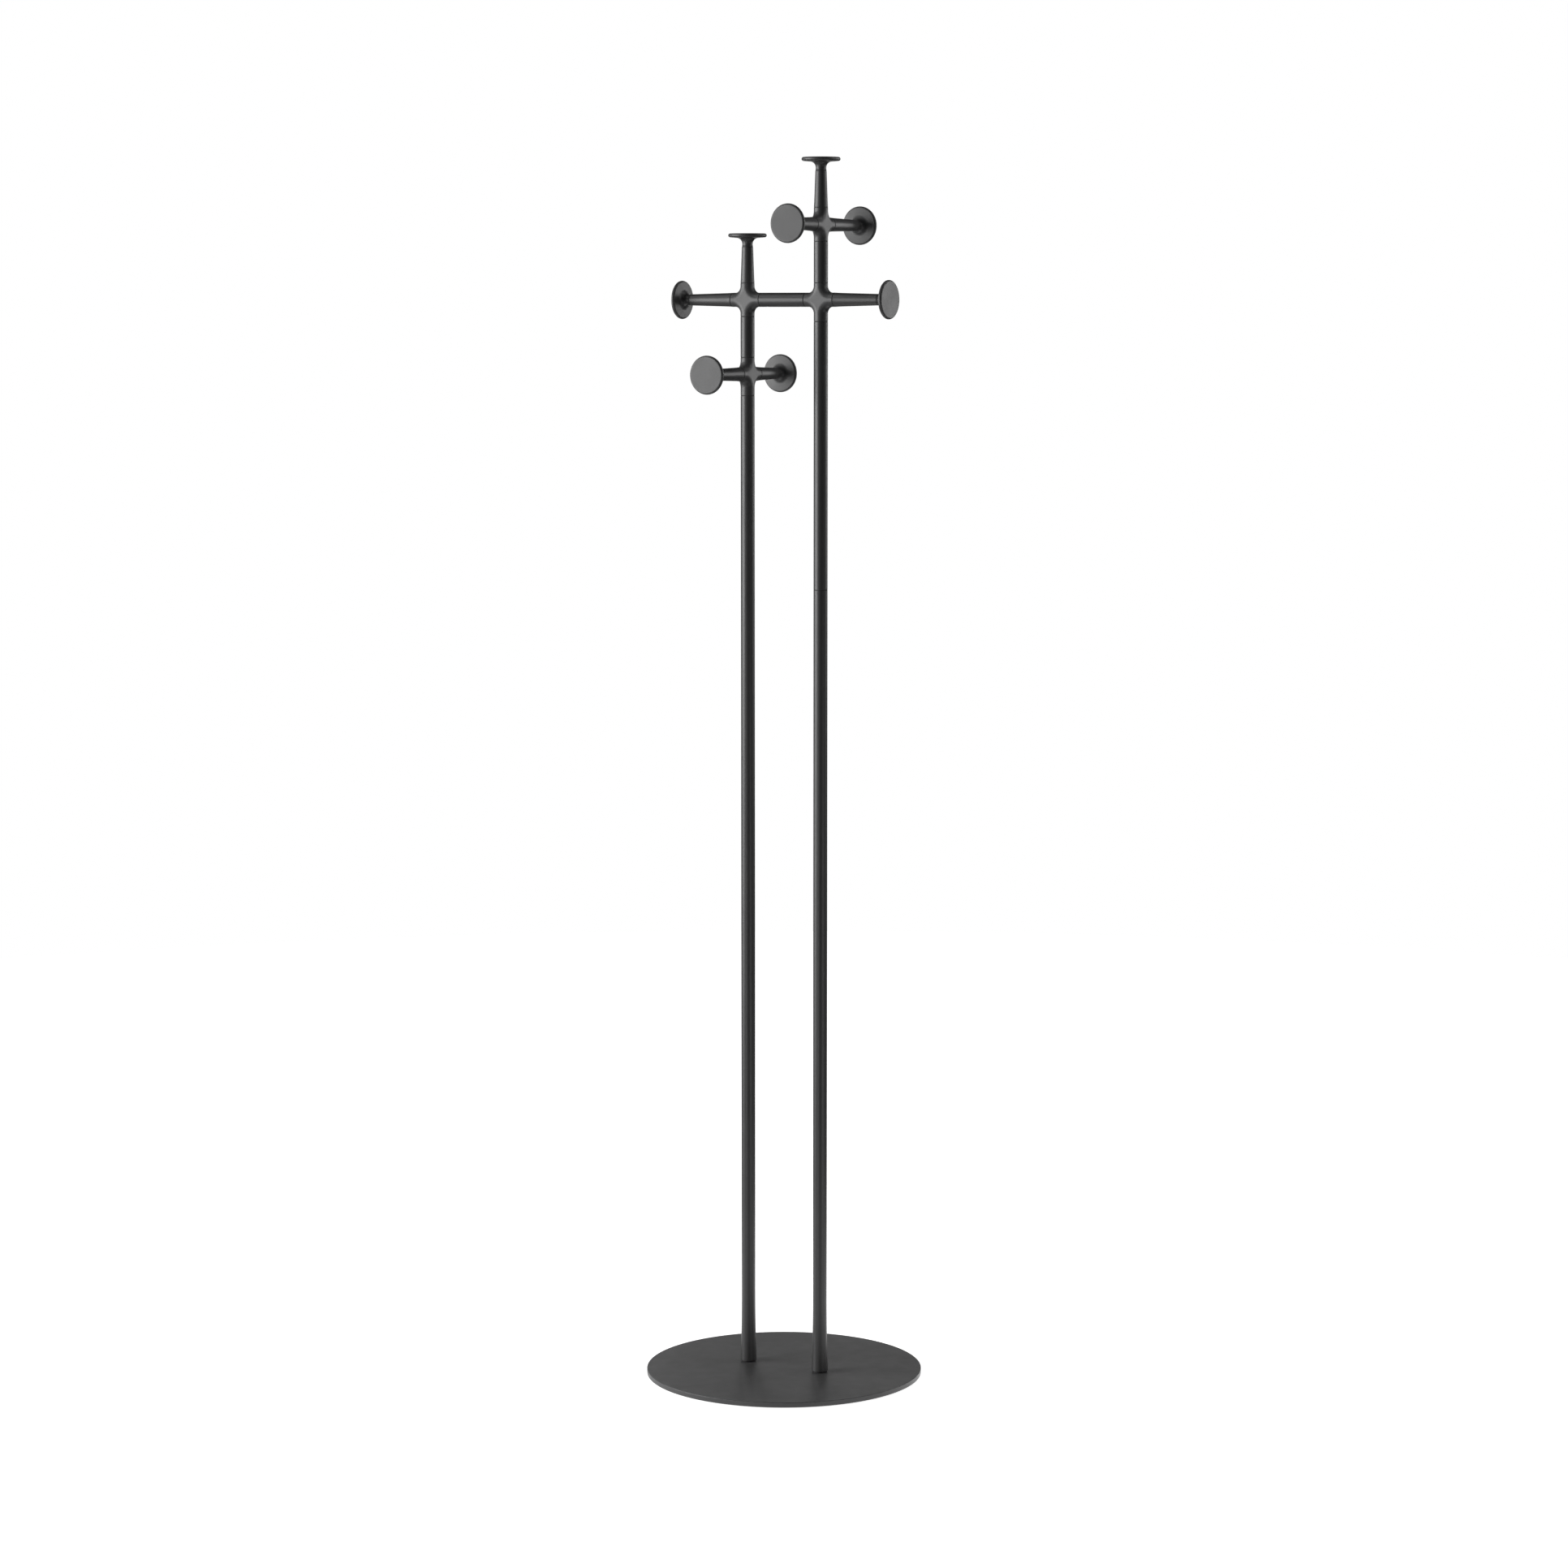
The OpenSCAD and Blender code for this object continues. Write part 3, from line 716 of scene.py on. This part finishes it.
def grub_grid(x):
    """A grub screw: a hexagon socket in its lower end, a thread, and a bevelled tip."""
    low, high, flats = screw_low.z, screw_high.z, 0.001
    rings = [(0.0, low + 0.002), (flats, low + 0.002), (flats, low + 0.0001),
             (flats + 0.0002, low), (M4_RADIUS - M4_DEPTH, low)]
    thread = threaded(M4_RADIUS, low + 0.0003, high - 0.0006, M4_PITCH, M4_DEPTH, sides=24)
    tail = [(M4_RADIUS - 0.0008, high), (0.0, high)]
    return screw_grid(rings, thread, tail, (x, 0, 0), socket=(1, 2))


piece("bar_screws", [grub_grid(x) for x in GRUBS], black_steel)

# --- Hook arms -----------------------------------------------------------------------------------
# Eight cast arms, as wide as the tube where they meet a cross and slimmer towards the disc. Each
# is screwed on by a stud, and its seam shows as a fine ring at both ends.

HOOKS = {"left": (-1, 0, 0), "right": (1, 0, 0), "left_top": (0, 0, 1), "right_top": (0, 0, 1),
         "upper_front": (0, -1, 0), "upper_back": (0, 1, 0),
         "lower_front": (0, -1, 0), "lower_back": (0, 1, 0)}
ARM_SHOULDER = 0.00925
ARM_TIP = 0.0076
SHOULDER_RUN = 0.004
DISC_STUD_HOLE = M5_RADIUS + CLEAR
DISC_STUD_BITE = 0.009
# A neck's seam is finer than one beside a cross: its painted dirt and shade are this much as dark
NECK_DIRT_AND_SHADE = 0.5
# Painted light: arms toned 10% lighter than the plain coat, for light the lamps don't give
arm_coat = powder_coat("arm_coat", tone=1.1, roughness=0.42, peel_cell=0.0030, peel_depth=5e-6)


def on_axis(node, direction):
    """Where a turned piece starts on its own axis and how long it is, from its CAD box."""
    low, high = (np.array(corner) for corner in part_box(node))
    along = np.array(direction, float)
    length = abs((high - low) @ along)
    return (low + high) / 2.0 - along * length / 2.0, length


def arm_grid(start, length, direction):
    """An arm's outline turned about its axis. At a distance s from the cross its radius is
    tip + (shoulder - tip) (1 - s / length) + (root - shoulder) exp(-s / shoulder run): an even
    taper, and a quick one right beside the cross."""
    places = 0.001 + (length - 0.002) * np.linspace(0.0, 1.0, 32) ** 1.4

    def radius(place):
        taper = ARM_TIP + (ARM_SHOULDER - ARM_TIP) * (1.0 - place / length)
        return taper + (tube_radius - ARM_SHOULDER) * np.exp(-place / SHOULDER_RUN)

    rows = outline([(0.0, BITE, 0, 0), (THREAD_HOLE, BITE, 0, 0), (THREAD_HOLE, 0.0, 0, 0),
                    (tube_radius, 0.0, END_EASE, seam_dirt_and_shade_level(direction)),
                    *((radius(place), place, 0, 0) for place in places),
                    (ARM_TIP, length, END_EASE, NECK_DIRT_AND_SHADE * seam_dirt_and_shade_level(direction)),
                    (DISC_STUD_HOLE, length, 0, 0), (DISC_STUD_HOLE, length - DISC_STUD_BITE, 0, 0),
                    (0.0, length - DISC_STUD_BITE, 0, 0)], steps=4, fade=SEAM_FADE)
    return turned(rows, 96, start, direction)


for hook, way in HOOKS.items():
    piece(hook + "_arm", [arm_grid(*on_axis(hook + "_arm", way), way)], arm_coat)

# --- Hook discs ----------------------------------------------------------------------------------
# Eight cast discs that keep a coat on its arm. Behind a flat face with a round rim the back is a
# little dished, and flares down to a waisted neck that is screwed to the arm.

DISC_WAIST = 0.0071
DISC_FLARE = 0.008
DISC_RIM = 0.0025
DISC_BACK = 0.0065
DISC_EDGE = 0.0050
disc_coat = powder_coat("disc_coat", tone=1.0, roughness=0.44, peel_cell=0.0030)


def disc_grid(start, length, direction, radius):
    """A disc's outline turned about its axis: an eased seam, a waist, a round flare into the
    dished back, a round rim and a flat face, with rings across the face."""
    rows = outline([(0.0, DISC_STUD_BITE, 0, 0), (DISC_STUD_HOLE, DISC_STUD_BITE, 0, 0),
                    (DISC_STUD_HOLE, 0.0, 0, 0),
                    (ARM_TIP, 0.0, END_EASE, NECK_DIRT_AND_SHADE * seam_dirt_and_shade_level(direction)),
                    (DISC_WAIST, 0.0020, 0.002, 0.0),
                    (DISC_WAIST, length - DISC_BACK, DISC_FLARE, 0.0),
                    (radius, length - DISC_EDGE, DISC_RIM, 0.7), (radius, length, DISC_RIM, 1.0),
                    (radius * 0.8, length, 0, 0), (radius * 0.4, length, 0, 0),
                    (0.0, length, 0, 0)], steps=12, fade=0.0006)
    return turned(rows, 144, start, direction)


for hook, way in HOOKS.items():
    disc_low, disc_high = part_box(hook + "_disc")
    rim = max(disc_high - disc_low) / 2.0
    piece(hook + "_disc", [disc_grid(*on_axis(hook + "_disc", way), way, rim)], disc_coat)

# --- Studs and plugs -----------------------------------------------------------------------------
# What holds the stand together inside: headless studs, M8 between tubes, crosses and arms and M5
# between arms and discs, all zinc plated. Plugs pressed into the tube ends take the tube studs.


def stud_grid(start, direction, low, high, radius, pitch, depth):
    """A headless stud: a bevelled end, a thread all along, and a bevelled end."""
    core = radius - depth
    thread = threaded(radius, low + 0.0005, high - 0.0005, pitch, depth, sides=24)
    head = [(0.0, low), (core - 0.0003, low), (core, low + 0.0004)]
    tail = [(core, high - 0.0004), (core - 0.0003, high), (0.0, high)]
    return screw_grid(head, thread, tail, start, direction)


STUD_REACH = BITE - 0.0005
DISC_STUD_REACH = DISC_STUD_BITE - 0.0005
PLUG_REACH = 0.018
UP, DOWN = (0, 0, 1), (0, 0, -1)
TUBE_ENDS = [(0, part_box("left_post")[1].z, UP), (0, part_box("left_link")[0].z, DOWN),
             (0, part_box("left_link")[1].z, UP), (1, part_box("right_post_upper")[1].z, UP),
             (1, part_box("right_link")[0].z, DOWN), (1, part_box("right_link")[1].z, UP)]

piece("tube_studs", [stud_grid((POSTS[post], 0, z), way, -PLUG_REACH, STUD_REACH,
                               BOLT_RADIUS, M8_PITCH, M8_DEPTH) for post, z, way in TUBE_ENDS],
      bare_steel)
piece("arm_studs", [stud_grid(on_axis(hook + "_arm", way)[0], way, -STUD_REACH, STUD_REACH,
                              BOLT_RADIUS, M8_PITCH, M8_DEPTH) for hook, way in HOOKS.items()],
      bare_steel)
piece("disc_studs", [stud_grid(on_axis(hook + "_disc", way)[0], way, -DISC_STUD_REACH,
                               DISC_STUD_REACH, M5_RADIUS, M5_PITCH, M5_DEPTH)
                     for hook, way in HOOKS.items()], bare_steel)
plate_with_zinc("tube_plugs")

# --- Studio --------------------------------------------------------------------------------------
# A white sweep that the camera sees as plain white, with a faint shadow round the plate, soft
# boxes round the stand, and a long lens a little below the height of the upper hooks.

bpy.context.scene.view_settings.view_transform = "Standard"


def flat_rings(name, radii, height, material):
    """A flat disc or ring of the floor, made of circles of those radii, facing up and marked as
    stage."""
    rows = np.array([[radius, 0.0, 0.0] for radius in radii])
    made = bpy.data.objects.new(name, mesh_of(name, [turned(rows, 96, (0, 0, height))]))
    if made.data.polygons[0].normal.z < 0.0:
        made.data.flip_normals()
    made.data.materials.append(material)
    bpy.context.scene.collection.objects.link(made)
    return made


def stage_material(name):
    """An empty material for the stage, and its node tree."""
    material = bpy.data.materials.new(name)
    material.use_nodes = True
    material.node_tree.nodes.clear()
    return material, material.node_tree


def white_floor():
    """Floor paint that glows to plain white away from the stand and a little less under it, so
    that only the shadow close to the plate shows. From below it lets the camera through."""
    material, tree = stage_material("white_floor")
    place = add_node(tree, "ShaderNodeTexCoord", {}).outputs["Object"]
    away = add_node(tree, "ShaderNodeVectorMath", {0: place}, operation="LENGTH").outputs["Value"]
    strength = ranged(tree, away, 0.16, 0.45, 0.90, 1.0, smooth=True)
    glow = add_node(tree, "ShaderNodeEmission", {"Color": (1, 1, 1, 1), "Strength": strength})
    paint = add_node(tree, "ShaderNodeBsdfDiffuse", {"Color": (0.8, 0.8, 0.8, 1)})
    above = add_node(tree, "ShaderNodeAddShader", {0: glow.outputs[0], 1: paint.outputs[0]})
    below = add_node(tree, "ShaderNodeBsdfTransparent", {})
    side = add_node(tree, "ShaderNodeNewGeometry", {}).outputs["Backfacing"]
    both = add_node(tree, "ShaderNodeMixShader",
                    {0: side, 1: above.outputs[0], 2: below.outputs[0]})
    add_node(tree, "ShaderNodeOutputMaterial", {"Surface": both.outputs[0]})
    return material


floor = flat_rings("floor", (0.0, 0.3, 1.0, 4.0), -0.0001, white_floor())
floor.visible_diffuse = False
floor.visible_glossy = False


def floor_light():
    """Light that the floor sends up to the plate, its rim and the lower posts, brighter at the
    back than at the front, and none downwards."""
    material, tree = stage_material("floor_light")
    place = add_node(tree, "ShaderNodeTexCoord", {}).outputs["Object"]
    depth = add_node(tree, "ShaderNodeSeparateXYZ", {0: place}).outputs["Y"]
    side = add_node(tree, "ShaderNodeNewGeometry", {}).outputs["Backfacing"]
    light = sum_of(tree, ranged(tree, depth, -0.4, 0.2, 0.6, 1.8),
                   ranged(tree, side, 0.0, 1.0, 1.0, 0.0), "MULTIPLY")
    glow = add_node(tree, "ShaderNodeEmission", {"Color": (1, 1, 1, 1), "Strength": light})
    add_node(tree, "ShaderNodeOutputMaterial", {"Surface": glow.outputs[0]})
    return material


bounce = flat_rings("bounce", (0.0, 0.3, 0.75), -0.00005, floor_light())
bounce.visible_camera = False
bounce.visible_shadow = False


def white_world(light):
    """A world that the camera sees as white, and that lights the stand with a dim even grey."""
    world = bpy.data.worlds.new("studio")
    world.use_nodes = True
    tree = world.node_tree
    background = tree.nodes["Background"]
    seen = add_node(tree, "ShaderNodeLightPath", {}).outputs["Is Camera Ray"]
    tree.links.new(ranged(tree, seen, 0.0, 1.0, light, 1.0), background.inputs["Strength"])
    background.inputs["Color"].default_value = (1, 1, 1, 1)
    bpy.context.scene.world = world


white_world(0.02)


def softbox(name, azimuth, distance, height, aim, size, power):
    """A square or upright soft box at an azimuth from the front (+X side positive), that many
    metres out and up, turned to the stand's axis at the height of its aim."""
    light = bpy.data.lights.new(name, "AREA")
    light.shape, light.energy = "RECTANGLE", power
    light.size, light.size_y = size
    box = bpy.data.objects.new(name, light)
    turn = math.radians(azimuth)
    box.location = (distance * math.sin(turn), -distance * math.cos(turn), height)
    tilt = math.atan2(distance, height - aim)
    box.rotation_euler = (tilt, 0.0, turn)
    box.visible_camera = False
    bpy.context.scene.collection.objects.link(box)


SOFTBOXES = [
    ("key", -46.0, 2.6, 1.45, 1.4, (1.8, 1.7), 74.5),
    ("left_high", -72.0, 2.6, 1.9, 1.4, (0.9, 0.5), 12.0),
    ("left_low", -60.0, 2.6, 0.25, 0.4, (1.4, 0.5), 12.5),
    ("front_low", 0.0, 2.6, 0.1, 0.6, (0.9, 0.8), 6.5),
    ("side_low", 78.0, 2.6, 0.1, 0.6, (1.6, 0.8), 8.0),
    ("top_front", -45.0, 1.5, 3.3, 1.3, (0.9, 0.8), 6.5),
    ("top_back", 135.0, 1.5, 3.3, 1.3, (0.9, 0.8), 5.5),
    ("back_right_high", 112.5, 2.6, 2.5, 1.3, (0.9, 0.8), 11.0),
    ("back_right", 130.0, 2.6, 1.3, 1.1, (0.7, 1.6), 6.0),
    ("back_middle", 152.0, 2.6, 1.6, 1.4, (0.7, 1.2), 13.0),
    ("back_left", 202.5, 2.6, 0.9, 0.9, (0.9, 0.8), 1.6),
    ("back_left_side", 225.0, 2.6, 0.9, 0.9, (0.9, 0.8), 2.6),
]
for box in SOFTBOXES:
    softbox(*box)

CAMERA_AZIMUTH = math.radians(30.886)
CAMERA_DISTANCE = 5.4911
CAMERA_HEIGHT = 1.4678
CAMERA_PITCH = math.radians(-6.711)
lens = bpy.data.cameras.new("camera")
lens.lens, lens.sensor_width = 92.99, 36.0
camera = bpy.data.objects.new("camera", lens)
camera.location = (CAMERA_DISTANCE * math.sin(CAMERA_AZIMUTH),
                   -CAMERA_DISTANCE * math.cos(CAMERA_AZIMUTH), CAMERA_HEIGHT)
camera.rotation_euler = (math.radians(90.0) + CAMERA_PITCH, 0.0, CAMERA_AZIMUTH)
bpy.context.scene.collection.objects.link(camera)
bpy.context.scene.camera = camera
